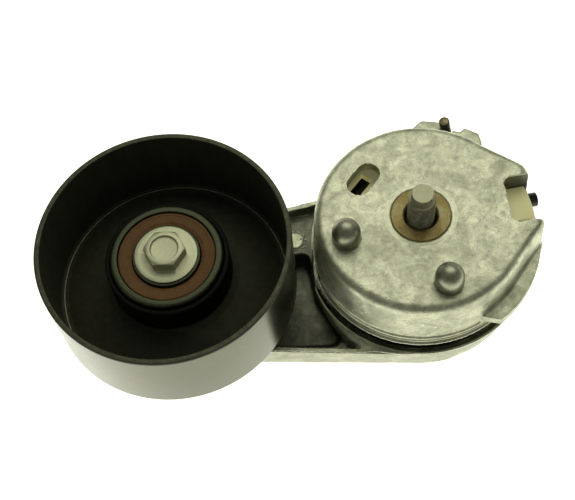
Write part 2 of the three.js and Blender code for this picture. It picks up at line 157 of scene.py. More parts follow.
def rounded(points, radius=0.3, steps=4, closed=True):
    """Every corner of an outline as an arc. A point may carry a radius of its own as a third value."""
    result = []
    count = len(points)
    for i, point in enumerate(points):
        here = Vector(point[:2])
        if not closed and i in (0, count - 1):
            result.append(tuple(here))
            continue
        r = point[2] if len(point) > 2 else radius
        back = Vector(points[i - 1][:2]) - here
        ahead = Vector(points[(i + 1) % count][:2]) - here
        angle = back.angle(ahead)
        if r <= 0 or angle > math.radians(175) or angle < math.radians(2):
            result.append(tuple(here))
            continue
        reach = min(r / math.tan(angle / 2), 0.45 * back.length, 0.45 * ahead.length)
        r = reach * math.tan(angle / 2)
        u = back.normalized()
        v = ahead.normalized()
        centre = here + (u + v).normalized() * (r / math.sin(angle / 2))
        start = here + u * reach - centre
        turn = start.angle_signed(here + v * reach - centre)
        for k in range(steps + 1):
            step = -turn * k / steps
            x = start.x * math.cos(step) - start.y * math.sin(step)
            y = start.x * math.sin(step) + start.y * math.cos(step)
            result.append((centre.x + x, centre.y + y))
    return result


def make_object(name, vertices, faces, place=(0, 0, 0), smooth=True):
    mesh = bpy.data.meshes.new(name)
    mesh.from_pydata([Vector(v) * MM for v in vertices], [], faces)
    mesh.validate()
    piece = bpy.data.objects.new(name, mesh)
    bpy.context.scene.collection.objects.link(piece)
    piece.location = Vector(place) * MM
    bm = bmesh.new()
    bm.from_mesh(mesh)
    bmesh.ops.remove_doubles(bm, verts=bm.verts, dist=1e-7)
    bmesh.ops.recalc_face_normals(bm, faces=bm.faces)
    bm.to_mesh(mesh)
    bm.free()
    if smooth:
        mesh.shade_smooth()
    return piece


def turned(name, profile, segments=128, place=(0, 0, 0), zone=None):
    """A solid of revolution about Z from a profile of (radius, z) that is closed or ends on the axis.

    zone(radius, z, outward, upward) gives the material number of a face from its place and normal.
    """
    vertices = []
    faces = []
    rings = []
    for r, z in profile:
        if r < 1e-4:
            vertices.append((0, 0, z))
            rings.append([len(vertices) - 1] * segments)
            continue
        first = len(vertices)
        for k in range(segments):
            x, y = polar(r, 360 * k / segments)
            vertices.append((x, y, z))
        rings.append(list(range(first, first + segments)))
    count = len(profile)
    on_axis = profile[0][0] < 1e-4 and profile[-1][0] < 1e-4
    for i in range(count - 1 if on_axis else count):
        a = rings[i]
        b = rings[(i + 1) % count]
        for k in range(segments):
            m = (k + 1) % segments
            corners = [a[k], a[m], b[m], b[k]]
            face = [c for n, c in enumerate(corners) if c not in corners[:n]]
            if len(face) > 2:
                faces.append(face)
    piece = make_object(name, vertices, faces, place)
    if zone:
        for face in piece.data.polygons:
            centre = face.center / MM
            radius = math.hypot(centre.x, centre.y)
            out = (face.normal.x * centre.x + face.normal.y * centre.y) / max(radius, 1e-6)
            face.material_index = zone(radius, centre.z, out, face.normal.z)
    return piece


def skin(name, rings, smooth=True):
    """A closed solid through rings of points, all with the same number of points."""
    sides = len(rings[0])
    vertices = [point for ring in rings for point in ring]
    faces = [list(range(sides))[::-1], list(range(len(vertices) - sides, len(vertices)))]
    for row in range(len(rings) - 1):
        for k in range(sides):
            a = row * sides + k
            b = row * sides + (k + 1) % sides
            faces.append([a, b, b + sides, a + sides])
    return make_object(name, vertices, faces, smooth=smooth)


def loft(name, levels):
    """A solid through outlines with equal point counts, given as (z, outline) from the lowest up."""
    return skin(name, [[(x, y, z) for x, y in outline] for z, outline in levels], smooth=False)


def prism(name, outline, low, high):
    return loft(name, [(low, outline), (high, outline)])


def between(first, second, share):
    """The outline that lies a share of the way from the first outline to the second."""
    return [tuple(Vector(a).lerp(Vector(b), share)) for a, b in zip(first, second)]


def bore(name, radius, low, high, segments, place=(0, 0, 0)):
    """A plain round bar, to cut a hole with."""
    return turned(name, [(0, low), (radius, low), (radius, high), (0, high)], segments, place)


def swept(name, path, radius, sides):
    """A closed round rod along a list of points; radius may be a number or one for each point."""
    points = [Vector(p) for p in path]
    last = len(points) - 1
    normal = None
    rings = []
    for i, point in enumerate(points):
        tangent = (points[min(i + 1, last)] - points[max(i - 1, 0)]).normalized()
        if normal is None:
            normal = tangent.orthogonal().normalized()
        normal = (normal - tangent * normal.dot(tangent)).normalized()
        side = tangent.cross(normal)
        r = radius[i] if isinstance(radius, list) else radius
        offsets = [polar(r, 360 * k / sides) for k in range(sides)]
        rings.append([point + normal * c + side * s for c, s in offsets])
    return skin(name, rings)


def bake(piece):
    """Applies a piece's modifiers to its mesh."""
    graph = bpy.context.evaluated_depsgraph_get()
    mesh = bpy.data.meshes.new_from_object(piece.evaluated_get(graph), depsgraph=graph)
    piece.modifiers.clear()
    old = piece.data
    piece.data = mesh
    bpy.data.meshes.remove(old)


def combine(piece, tools, operation):
    for tool in tools:
        modifier = piece.modifiers.new(operation.lower(), "BOOLEAN")
        modifier.operation = operation
        modifier.solver = "EXACT"
        modifier.object = tool
        bake(piece)
        bpy.data.objects.remove(tool, do_unlink=True)


def cut(piece, *tools):
    combine(piece, tools, "DIFFERENCE")


def add(piece, *tools):
    combine(piece, tools, "UNION")


def soften(piece, voxel, rounds):
    """The soft edges of a casting: an even skin of small faces, smoothed a little."""
    remesh = piece.modifiers.new("skin", "REMESH")
    remesh.mode = "VOXEL"
    remesh.voxel_size = voxel * MM
    remesh.use_smooth_shade = True
    smooth = piece.modifiers.new("smooth", "SMOOTH")
    smooth.factor = 0.5
    smooth.iterations = rounds
    bake(piece)


def wander(size, *place):
    """A value that drifts smoothly between about -size and size as the place in the noise moves."""
    return size * noise.noise(Vector(place))


def roughen(piece, coarse, coarse_size, fine, fine_size):
    """A casting is never quite true: moves each point inwards along its normal by a little noise."""
    mesh = piece.data
    normals = [v.normal.copy() for v in mesh.vertices]
    for vertex, normal in zip(mesh.vertices, normals):
        place = vertex.co / MM
        wave = wander(coarse, *(place / coarse_size)) + wander(fine, *(place / fine_size))
        vertex.co += normal * MM * (wave - coarse - fine)
    mesh.update()


def join(piece, *others):
    """Puts other meshes into a piece's mesh as they are, without a boolean."""
    bm = bmesh.new()
    bm.from_mesh(piece.data)
    for other in others:
        extra = other.data.copy()
        extra.transform(piece.matrix_world.inverted() @ other.matrix_world)
        bm.from_mesh(extra)
        bpy.data.meshes.remove(extra)
        bpy.data.objects.remove(other, do_unlink=True)
    bm.to_mesh(piece.data)
    bm.free()


def smooth_by_angle(piece, degrees):
    """Smooth shading, with a crisp edge wherever faces meet at more than this angle."""
    mesh = piece.data
    mesh.shade_smooth()
    mesh.set_sharp_from_angle(angle=math.radians(degrees))


def bevel(piece, width, segments, angle):
    modifier = piece.modifiers.new("edges", "BEVEL")
    modifier.width = width * MM
    modifier.segments = segments
    modifier.limit_method = "ANGLE"
    modifier.angle_limit = math.radians(angle)
    bake(piece)
    smooth_by_angle(piece, 40)


def paint(piece, *materials):
    """Gives a piece its materials; faces keep the material numbers set while it was made."""
    numbers = [face.material_index for face in piece.data.polygons]
    piece.data.materials.clear()
    for material in materials:
        piece.data.materials.append(material)
    for face, number in zip(piece.data.polygons, numbers):
        face.material_index = min(number, len(materials) - 1)


def finish_piece(piece, body, slot, replaced, *materials):
    """Paints a piece and says its body and the CAD nodes that it stands for. The slot is not used."""
    paint(piece, *materials)
    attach(piece, body)
    if replaced:
        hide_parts(*replaced)


# ---------- material helpers ----------

class Nodes:
    """Short names for the nodes that the materials below share."""

    def __init__(self, name):
        self.material = bpy.data.materials.new(name)
        self.material.use_nodes = True
        self.tree = self.material.node_tree
        self.shader = self.tree.nodes["Principled BSDF"]
        self.coordinates = self.tree.nodes.new("ShaderNodeTexCoord").outputs["Object"]

    def feed(self, socket, value):
        """Gives a socket another node's output, a colour or a number."""
        if isinstance(value, bpy.types.NodeSocket):
            self.tree.links.new(value, socket)
        else:
            socket.default_value = (*value, 1.0) if isinstance(value, tuple) else value

    def node(self, kind, **inputs):
        node = self.tree.nodes.new(kind)
        for key, value in inputs.items():
            self.feed(node.inputs[key], value)
        return node

    def noise(self, size, detail=3.0, roughness=0.5, distortion=0.0, stretch=None):
        """Noise with blobs about size millimetres across."""
        vector = self.coordinates
        if stretch:
            mapping = self.node("ShaderNodeMapping", Vector=vector)
            mapping.inputs["Scale"].default_value = stretch
            vector = mapping.outputs[0]
        node = self.node("ShaderNodeTexNoise", Vector=vector, Scale=1 / (size * MM), Detail=detail,
                         Roughness=roughness, Distortion=distortion)
        return node.outputs["Fac"]

    def spots(self, spacing, radius, seed=0.0):
        """1 inside scattered round spots, 0 outside; sizes in millimetres."""
        vector = self.node("ShaderNodeVectorMath", Vector=self.coordinates)
        vector.operation = "ADD"
        vector.inputs[1].default_value = (seed, seed * 0.7, seed * 0.3)
        node = self.node("ShaderNodeTexVoronoi", Vector=vector.outputs[0], Scale=1 / (spacing * MM))
        edge = radius / spacing
        return self.ramp(node.outputs["Distance"], [(edge * 0.6, 1.0), (edge, 0.0)])

    def ramp(self, source, stops):
        """Maps a value through (position, value) stops; a value may be a colour."""
        node = self.node("ShaderNodeValToRGB", Fac=source)
        elements = node.color_ramp.elements
        while len(elements) < len(stops):
            elements.new(0.5)
        for element, (position, value) in zip(elements, stops):
            element.position = position
            colour = value if isinstance(value, tuple) else (value, value, value)
            element.color = (*colour, 1.0)
        return node.outputs["Color"]

    def span(self, source, low, high):
        """Spreads a noise, which stays near its middle, over the values from low to high."""
        return self.ramp(source, [(0.3, low), (0.7, high)])

    def mix(self, factor, first, second):
        """The first colour where the factor is 0, the second where it is 1."""
        node = self.tree.nodes.new("ShaderNodeMix")
        node.data_type = "RGBA"
        for key, value in ((0, factor), (6, first), (7, second)):
            self.feed(node.inputs[key], value)
        return node.outputs[2]

    def math(self, operation, first, second=0.0):
        node = self.tree.nodes.new("ShaderNodeMath")
        node.operation = operation
        self.feed(node.inputs[0], first)
        self.feed(node.inputs[1], second)
        return node.outputs[0]

    def radius(self):
        """Distance from the piece's own Z axis, in metres."""
        x, y, _ = self.node("ShaderNodeSeparateXYZ", Vector=self.coordinates).outputs
        square = self.math("ADD", self.math("MULTIPLY", x, x), self.math("MULTIPLY", y, y))
        return self.math("SQRT", square)

    def edges(self, low, high):
        """0 in hollows, 1 on worn edges of a finely meshed piece."""
        pointiness = self.tree.nodes.new("ShaderNodeNewGeometry").outputs["Pointiness"]
        return self.ramp(pointiness, [(low, 0.0), (high, 1.0)])

    def finish(self, colour, roughness, metallic=0.0, specular=0.5):
        self.feed(self.shader.inputs["Base Color"], colour)
        self.feed(self.shader.inputs["Roughness"], roughness)
        self.feed(self.shader.inputs["Metallic"], metallic)
        self.feed(self.shader.inputs["Specular IOR Level"], specular)

    def glow(self, colour, strength):
        self.feed(self.shader.inputs["Emission Color"], colour)
        self.feed(self.shader.inputs["Emission Strength"], strength)

    def bump(self, *layers):
        """Stacks (height, depth in millimetres) layers into the shader's normal."""
        normal = None
        for height, depth in layers:
            node = self.node("ShaderNodeBump", Height=height, Strength=1.0, Distance=depth * MM)
            if normal:
                self.feed(node.inputs["Normal"], normal)
            normal = node.outputs["Normal"]
        self.feed(self.shader.inputs["Normal"], normal)
        return self.material


# ---------- materials ----------

def cast_aluminium(name, shade=1.0, staked=False):
    """Die-cast skin: flow swirls, cloudy patches, fine grain, pits and brighter worn edges.

    A staked piece has a paler ring of upset metal round its own Z axis.
    """
    n = Nodes(name)
    clouds = n.noise(11, 9, 0.68, 0.8)
    swirls = n.noise(6, 8, 0.62, 2.2)
    lines = n.ramp(swirls, [(0.475, 0.0), (0.495, 1.0), (0.515, 0.0)])
    grain = n.noise(0.45, 3, 0.7)

    def tone(level):
        return (level * shade * 0.97, level * shade, level * shade * 0.74)

    base = n.ramp(clouds, [(0.34, tone(0.38)), (0.48, tone(0.57)), (0.62, tone(0.76))])
    mottles = n.ramp(n.noise(2.4, 7, 0.65, 0.6), [(0.36, 0.55), (0.50, 0.0)])
    base = n.mix(mottles, base, tone(0.33))
    base = n.mix(n.math("MULTIPLY", lines, 0.30), base, tone(0.27))
    base = n.mix(n.ramp(grain, [(0.38, 0.30), (0.55, 0.0)]), base, tone(0.25))
    pits = n.math("MAXIMUM", n.spots(4.2, 0.20), n.spots(2.3, 0.07, 4.1))
    base = n.mix(n.math("MULTIPLY", pits, 0.7), base, tone(0.10))
    base = n.mix(n.math("MULTIPLY", n.edges(0.52, 0.58), 0.65), base, tone(0.88))
    if staked:
        wander = n.math("MULTIPLY", n.noise(1.6, 3), 1.2 * MM)
        ring = n.ramp(n.math("MULTIPLY", n.math("SUBTRACT", n.radius(), wander), 50.0),
                      [(0.622, 1.0), (0.640, 0.0)])
        base = n.mix(n.math("MULTIPLY", ring, 0.6), base, (0.80, 0.81, 0.62))
    roughness = n.span(n.noise(5, 4, 0.6, 0.8), 0.36, 0.52)
    n.finish(base, roughness, 0.85)
    return n.bump((n.noise(3.0, 5, 0.6), 0.12), (grain, 0.04), (n.math("SUBTRACT", 1.0, pits), 0.12))


def polished_face():
    """The belt's running face: fine turning marks, soft grey patches and a little dust."""
    n = Nodes("polished_belt_face")
    marks = n.noise(0.35, 2, 0.6, 0.0, (0.02, 0.02, 1.0))
    patches = n.noise(16, 4, 0.5, 0.4)
    base = n.span(patches, (0.100, 0.103, 0.068), (0.130, 0.133, 0.090))
    dust = n.math("MAXIMUM", n.spots(2.6, 0.10, 3.1), n.spots(5.2, 0.16, 9.4))
    base = n.mix(n.math("MULTIPLY", dust, 0.5), base, (0.55, 0.56, 0.48))
    roughness = n.span(patches, 0.20, 0.28)
    n.finish(base, roughness, 1.0)
    return n.bump((marks, 0.006))


def black_coat():
    """Black electrocoat inside the pulley, satin, with faint streaks from drawing the sheet."""
    n = Nodes("black_coat")
    streaks = n.noise(3, 3, 0.5, 0.3, (1.0, 1.0, 0.25))
    base = n.span(streaks, (0.040, 0.041, 0.027), (0.054, 0.056, 0.038))
    base = n.mix(n.math("MULTIPLY", n.spots(4.5, 0.10, 1.7), 0.4), base, (0.09, 0.09, 0.065))
    roughness = n.span(n.noise(2, 3), 0.46, 0.58)
    n.finish(base, roughness, 0.0, 0.16)
    return n.bump((n.noise(0.4, 3), 0.02), (streaks, 0.03))


def rim_metal():
    """The cut edge of the sheet: olive grey steel with light scuffs round it."""
    n = Nodes("cut_rim")
    scuffs = n.noise(2.2, 4, 0.7, 0.5)
    base = n.ramp(scuffs, [
        (0.3, (0.045, 0.047, 0.027)),
        (0.62, (0.068, 0.071, 0.042)),
        (0.8, (0.12, 0.12, 0.08)),
    ])
    n.finish(base, n.span(scuffs, 0.55, 0.40), 0.6)
    return n.bump((n.noise(0.5, 3), 0.02), (scuffs, 0.03))


def ground_steel(name, dark, light, rough=(0.22, 0.38), grain=0.02):
    n = Nodes(name)
    patches = n.noise(4, 4, 0.6, 0.8)
    fine = n.noise(0.35, 3, 0.6)
    base = n.span(patches, dark, light)
    base = n.mix(n.ramp(fine, [(0.3, 0.25), (0.5, 0.0)]), base, tuple(0.5 * c for c in dark))
    n.finish(base, n.ramp(patches, [(0.3, rough[0]), (0.7, rough[1])]), 1.0)
    return n.bump((fine, grain), (patches, 0.02))


def dowel_steel():
    """Tumbled bright steel with a few scratches and a speck of rust."""
    n = Nodes("dowel_steel")
    patches = n.noise(3, 4, 0.6, 0.8)
    scratches = n.noise(0.5, 2, 0.6, 0.2, (1.0, 0.12, 0.3))
    base = n.span(patches, (0.30, 0.31, 0.22), (0.44, 0.45, 0.34))
    base = n.mix(n.ramp(scratches, [(0.30, 0.35), (0.42, 0.0)]), base, (0.16, 0.16, 0.11))
    rust = n.spots(6.0, 0.22, 2.3)
    base = n.mix(n.math("MULTIPLY", rust, 0.7), base, (0.30, 0.13, 0.03))
    n.finish(base, n.span(patches, 0.36, 0.46), 1.0)
    return n.bump((scratches, 0.012), (patches, 0.03))


def yellow_zinc():
    """Turned steel under yellow passivation: rings from the tool, gold and brown patches."""
    n = Nodes("yellow_zinc")
    feed = 0.55
    rings = n.math("SINE", n.math("MULTIPLY", n.radius(), 2 * math.pi / (feed * MM)))
    rings = n.math("MULTIPLY", rings, 0.5)
    patches = n.noise(4.5, 4, 0.6, 1.0)
    base = n.ramp(patches, [
        (0.30, (0.20, 0.145, 0.050)),
        (0.52, (0.33, 0.27, 0.11)),
        (0.72, (0.42, 0.41, 0.24)),
    ])
    base = n.mix(n.math("MULTIPLY", n.noise(0.6, 3), 0.35), base, (0.17, 0.12, 0.05))
    n.finish(base, n.span(patches, 0.34, 0.46), 0.85)
    return n.bump((rings, 0.05), (n.noise(0.5, 3), 0.02))


def zinc_flake():
    """Matt grey-green zinc flake coating, dusty, darker where it has been handled."""
    n = Nodes("zinc_flake")
    clouds = n.noise(3.5, 5, 0.6, 0.6)
    flakes = n.noise(0.22, 2, 0.6)
    base = n.span(clouds, (0.48, 0.50, 0.33), (0.62, 0.64, 0.44))
    base = n.mix(n.ramp(flakes, [(0.35, 0.28), (0.55, 0.0)]), base, (0.26, 0.27, 0.17))
    n.finish(base, n.span(clouds, 0.42, 0.54), 0.8, 0.4)
    return n.bump((flakes, 0.03), (n.noise(1.3, 3), 0.07))


def thread_steel():
    n = Nodes("thread_steel")
    patches = n.noise(2.5, 4, 0.6, 0.6)
    base = n.span(patches, (0.24, 0.24, 0.155), (0.42, 0.425, 0.29))
    n.finish(base, n.span(patches, 0.34, 0.50), 0.9)
    return n.bump((n.noise(0.3, 3), 0.02), (n.noise(1.5, 3), 0.03))


def brown_rubber():
    """Moulded seal: brown nitrile with a dusty bloom and faint flow marks."""
    n = Nodes("brown_rubber")
    bloom = n.noise(4, 5, 0.6, 0.7)
    base = n.span(bloom, (0.135, 0.066, 0.022), (0.190, 0.098, 0.036))
    base = n.mix(n.ramp(n.noise(0.5, 3, 0.7), [(0.5, 0.0), (0.75, 0.2)]), base, (0.25, 0.15, 0.07))
    n.finish(base, n.span(bloom, 0.55, 0.70), 0.0, 0.2)
    return n.bump((n.noise(0.35, 3), 0.03), (bloom, 0.04))


def cream_nylon():
    """Natural nylon: cream and mottled, with fine mould lines."""
    n = Nodes("cream_nylon")
    clouds = n.noise(5, 4, 0.55, 0.6)
    base = n.span(clouds, (0.92, 0.88, 0.42), (0.98, 0.95, 0.55))
    base = n.mix(n.ramp(n.noise(0.7, 3), [(0.3, 0.2), (0.5, 0.0)]), base, (0.74, 0.68, 0.30))
    n.finish(base, n.span(clouds, 0.38, 0.50), 0.0, 0.45)
    # painted glow: a faint emission that stands in for light coming through the thin nylon from its far
    # side
    n.glow((1.0, 0.93, 0.50), 0.10)
    return n.bump((n.noise(1.0, 3), 0.03), (n.noise(0.25, 2), 0.01))


def dark_wire():
    n = Nodes("dark_wire")
    patches = n.noise(3, 4, 0.6, 0.6)
    base = n.span(patches, (0.013, 0.013, 0.009), (0.032, 0.032, 0.024))
    n.finish(base, n.span(patches, 0.30, 0.45), 0.5, 0.5)
    return n.bump((n.noise(0.4, 3), 0.03))


def sawn_end(name, dark, light):
    """A sawn wire end: parallel scratches, tan from dried oil."""
    n = Nodes(name)
    scratches = n.noise(0.5, 2, 0.6, 0.3, (1.0, 0.10, 1.0))
    base = n.span(scratches, dark, light)
    n.finish(base, 0.45, 0.7)
    return n.bump((scratches, 0.04))


def flash_metal():
    """Thin casting flash: bright, freshly broken aluminium."""
    n = Nodes("casting_flash")
    bits = n.noise(0.6, 3, 0.7)
    base = n.ramp(bits, [(0.35, (0.62, 0.63, 0.48)), (0.6, (0.96, 0.96, 0.82))])
    n.finish(base, 0.38, 0.85)
    return n.bump((bits, 0.05))


def dull_black(name, shade=1.0, specular=0.4):
    n = Nodes(name)
    clouds = n.noise(3, 4)
    dark = 0.010 * shade
    light = 0.026 * shade
    base = n.span(clouds, (dark, dark, dark * 0.8), (light, light, light * 0.8))
    n.finish(base, n.span(clouds, 0.5, 0.7), 0.0, specular)
    return n.bump((n.noise(0.5, 3), 0.03))


def sintered_bronze():
    n = Nodes("sintered_bronze")
    grains = n.noise(0.3, 3, 0.7)
    base = n.span(grains, (0.20, 0.12, 0.045), (0.40, 0.27, 0.12))
    n.finish(base, n.span(grains, 0.5, 0.35), 0.9)
    return n.bump((grains, 0.03))


ALUMINIUM_CASE = cast_aluminium("cast_aluminium_case", staked=True)
ALUMINIUM_ARM = cast_aluminium("cast_aluminium_arm", 0.88)
# a copy of the aluminium at about a quarter of its brightness: painted shade for the hollows of the case
# and the arm's channel
ALUMINIUM_PAINTED_SHADE = cast_aluminium("cast_aluminium_painted_shade", 0.24)
POLISHED = polished_face()
BLACK_COAT = black_coat()
RIM = rim_metal()
# bright steel for the ring on the pulley's inner fillet: painted highlight
CREASE_HIGHLIGHT = ground_steel("crease_painted_highlight", (0.24, 0.245, 0.16), (0.46, 0.465, 0.32), (0.40, 0.55))
BEARING_STEEL = ground_steel("bearing_steel", (0.052, 0.060, 0.035), (0.080, 0.090, 0.055), (0.42, 0.54))
BALL_STEEL = ground_steel("ball_steel", (0.62, 0.62, 0.58), (0.74, 0.74, 0.70), (0.06, 0.12), 0.004)
DARK_GAP = dull_black("shadow_black")
# a darker, duller copy of the black coat for the pulley's collar: painted shade
COLLAR_PAINTED_SHADE = dull_black("matt_black_painted_shade", 0.35, 0.08)
DOWEL = dowel_steel()
ZINC_YELLOW = yellow_zinc()
ZINC_FLAKE = zinc_flake()
THREAD = thread_steel()
RUBBER = brown_rubber()
NYLON = cream_nylon()
WIRE = dark_wire()
WIRE_END = sawn_end("wire_end", (0.02, 0.02, 0.015), (0.06, 0.06, 0.045))
PIN_END = sawn_end("pin_end", (0.16, 0.13, 0.06), (0.40, 0.36, 0.21))
FLASH = flash_metal()
BLACK_NYLON = dull_black("black_nylon")
BRONZE = sintered_bronze()


# ---------- spring case ----------

def case_outline(grow):
    """The case from above: most of a circle, and the lobe with the spring window at +X."""
    r = CASE["face"] + grow
    tip = LOBE["tip"] + grow
    corner = 5.0
    outline = arc(0, 0, r, 40, 313, 180)
    outline += arc(tip - 2.6, -11.2, 2.6, -52, -2, 6)
    outline += [(tip, 8.6)]
    outline += arc(tip - corner, 10.2, corner, 5, 50, 10)
    return outline


def case_body():
    """From the filleted face down a drafted wall to the straight rim, which steps out."""
    fillet = CASE["fillet"]
    rim_step = CASE["rim"] - CASE["face"]
    levels = []
    steps = 10
    for i in range(steps + 1):
        a = math.radians(90 * i / steps)
        levels.append((-fillet * (1 - math.cos(a)), case_outline(-fillet * (1 - math.sin(a)))))
    levels.append((CASE["rim_top"] + 0.2, case_outline(CASE["draft"])))
    levels.append((CASE["rim_top"], case_outline(rim_step)))
    levels.append((CASE_LOW.z, case_outline(rim_step)))
    return loft("spring_case_body", levels[::-1])


def case_flange():
    """The flange under the lobe, a part of a ring."""
    inner = CASE["cavity"] + 0.3
    outline = arc(0, 0, LOBE["flange"], -63, 14, 60) + arc(0, 0, inner, 14, -75, 60)
    return prism("case_flange", outline, LOBE["flange_bottom"], LOBE["ledge"])


def lock_pin_boss():
    """Two lugs with a gap between them, from corners at (radius, degrees) round the pivot."""
    corners = [
        (39, 82.5), (39, 42), (46.6, 45), (50, 49), (50, 56),
        (47.6, 57), (47.6, 63), (50, 67), (50, 75.5), (46.6, 79.5),
    ]
    outline = [polar(radius, degrees) for radius, degrees in corners]
    return prism("lock_pin_boss", rounded(outline, 1.0), CASE_LOW.z, -14)


def sight_slot(low, high):
    end = SLOT["width"] / 2
    half = (SLOT["length"] - SLOT["width"]) / 2
    outline = arc(half, 0, end, -90, 90, 24) + arc(-half, 0, end, 90, 270, 24)
    tool = prism("sight_slot", outline, low, high)
    turn_to_slot(tool, 0, 0)
    return tool


def turn_to_slot(tool, dx, dy):
    """Turns a tool drawn at the origin to the slot's direction and moves it to the slot's place."""
    turn = Matrix.Rotation(math.radians(SLOT["angle"]), 4, "Z")
    place = Vector((SLOT["x"] + dx, SLOT["y"] + dy, 0)) * MM
    tool.data.transform(Matrix.Translation(place) @ turn)


def window_cut():
    left, low, high = WINDOW["left"], WINDOW["low"], WINDOW["high"]
    outline = rounded([(left, low, 3.0), (60, low, 0), (60, high, 0), (left + 1.2, high, 2.5)], 2.0, 8)
    return prism("spring_window", outline, WINDOW["bottom"], 5)


def lock_pin_line():
    """The two ends of the pin's axis, its direction, which has no Y part, and its radius."""
    low, high = box_mm("lock_pin")
    axis = Vector(find_joint("lock_pin_pull")["axis"]).normalized()
    radius = (high.y - low.y) / 2
    rise = radius * math.sqrt(1 - axis.z ** 2)
    foot_z = low.z + rise
    tip_z = high.z - rise
    middle = (low + high) / 2
    length = (tip_z - foot_z) / axis.z
    return middle - axis * length / 2, middle + axis * length / 2, axis, radius


def rim_groove(z, depth, width):
    """A tool for a groove round the rim, all round but for the lobe."""
    inner = CASE["rim"] - depth
    low, high = z - width / 2, z + width / 2
    tool = turned("rim_groove", [(inner, low), (60, low), (60, high), (inner, high)], 192)
    keep = prism("keep", [(-60, -60), (27, -60), (27, 60), (-60, 60)], z - 2, z + 2)
    combine(tool, [keep], "INTERSECT")
    return tool


def rim_notch():
    """The gap in the rim beside the arm's channel."""
    wall = CASE["face"] + CASE["draft"]
    outline = arc(0, 0, 60, 173.5, 192, 4) + arc(0, 0, wall, 192, 173.5, 12)
    return prism("rim_notch", outline, CASE_LOW.z - 1, CASE["rim_top"] + 0.1)


def cut_pivot_hole(body):
    """The tube's hole, a press fit and so a little small, and the shallow ring left by its staking."""
    hole = TUBE_RADIUS - 0.1
    cut(body, bore("tube_hole", hole, -CASE["plate"] - 1, 1, 96))
    staking = rounded([(hole - 1, 0.4), (hole - 1, -0.15), (12.6, -0.15), (13.2, 0.4)], 0.2)
    cut(body, turned("staking", staking, 128))


def cut_pin_holes(body):
    """Press-fit holes for the dowels, and the lock pin's hole with a little play."""
    for node in DOWELS:
        low, high = box_mm(node)
        place = ((low.x + high.x) / 2, (low.y + high.y) / 2, 0)
        cut(body, bore("dowel_hole", DOWEL_RADIUS - 0.25, -3.6, 1, 64, place))
    foot, tip, axis, radius = lock_pin_line()
    cut(body, swept("pin_hole", [foot - axis * 6, tip + axis * 2], radius + 0.3, 40))


def make_spring_case():
    body = case_body()
    add(body, case_flange(), lock_pin_boss())
    cavity, plate, low = CASE["cavity"], CASE["plate"], CASE_LOW.z
    hollow = [(0, low - 1), (cavity, low - 1), (cavity, -plate - 2), (cavity - 2, -plate), (0, -plate)]
    cut(body, turned("hollow", hollow, 160))
    cut_pivot_hole(body)
    cut(body, sight_slot(-plate - 1, 1), window_cut())
    cut_pin_holes(body)
    soften(body, 0.42, 3)
    roughen(body, 0.07, 5.0, 0.03, 1.1)
    cut(body, rim_groove(-20.7, 0.8, 0.8), rim_groove(-22.6, 0.8, 0.8), rim_notch())
    smooth_by_angle(body, 50)
    for face in body.data.polygons:
        face.material_index = case_zone(face.center / MM)
    body.name = "cast_spring_case"
    finish_piece(body, "case", "cast_aluminium", ["spring_case"],
                 ALUMINIUM_CASE, ALUMINIUM_PAINTED_SHADE, DARK_GAP)


def case_zone(point):
    """0 for the open faces of the case, 1 for its hollows, painted darker as shade, 2 for the bottoms of
    the rim's grooves, painted near-black as shade.
    """
    x, y, z = point
    radius = math.hypot(x, y)
    below_rim = CASE["rim"] - radius
    # the bottoms of the rim's grooves get the near-black shadow material: painted shade
    if 0.35 < below_rim < 1.1 and CASE_LOW.z + 0.4 < z < CASE["rim_top"] - 0.4:
        return 2
    in_window = x > WINDOW["left"] - 0.4 and WINDOW["low"] - 0.3 < y < WINDOW["high"] + 0.6
    in_cavity = radius < CASE["cavity"] + 0.3 and z < -CASE["plate"] + 0.6
    if z < -1.1 and (in_cavity or (in_window and z > WINDOW["bottom"] + 0.6)):
        return 1
    return 0


def make_rim_burr():
    """The bright torn edge along the bottom of the case's rim."""
    path = []
    radii = []
    start, end, steps = 186, 302, 260
    for i in range(steps + 1):
        degrees = start + (end - start) * i / steps
        x, y = polar(CASE["rim"] + 0.05 + wander(0.12, degrees * 0.45, 3.1, 0), degrees)
        path.append((x, y, CASE_LOW.z + 0.42 + wander(0.16, degrees * 0.6, 7.7, 0)))
        radii.append(0.36 + wander(0.16, degrees * 0.9, 0, 5.0))
    burr = swept("case_rim_burr", path, radii, 8)
    finish_piece(burr, "case", "cast_aluminium", [], FLASH)


# ---------- pivot ----------

def make_dowels():
    for node in DOWELS:
        low, high = box_mm(node)
        centre = (low + high) / 2
        r = DOWEL_RADIUS
        straight = high.z - r
        profile = [(0, low.z), (r - 0.3, low.z), (r, low.z + 0.3), (r, straight - 0.6)]
        dome = arc(0, straight, r, 0, 90, 20)
        profile += [(min(x, r), y) for x, y in dome]
        profile[-1] = (0, high.z)
        piece = turned(node + "_domed", profile, 72, (centre.x, centre.y, 0))
        finish_piece(piece, "case", "dowel_steel", [node], DOWEL)


def make_pivot_tube():
    """A tube whose lower end is swaged out over the retaining washer."""
    low = TUBE_LOW.z
    outer = (TUBE_HIGH.x - TUBE_LOW.x) / 2
    swage_top = low + 0.7
    profile = rounded([
        (TUBE_BORE, low, 0.3),
        (outer, low, 0.3),
        (outer, swage_top, 0.2),
        (TUBE_RADIUS, swage_top, 0.2),
        (TUBE_RADIUS, -0.05, 0.5),
        (TUBE_BORE, -0.05, 0.8),
    ])
    tube = turned("turned_pivot_tube", profile, 96)
    finish_piece(tube, "case", "yellow_zinc", ["pivot_tube"], ZINC_YELLOW)


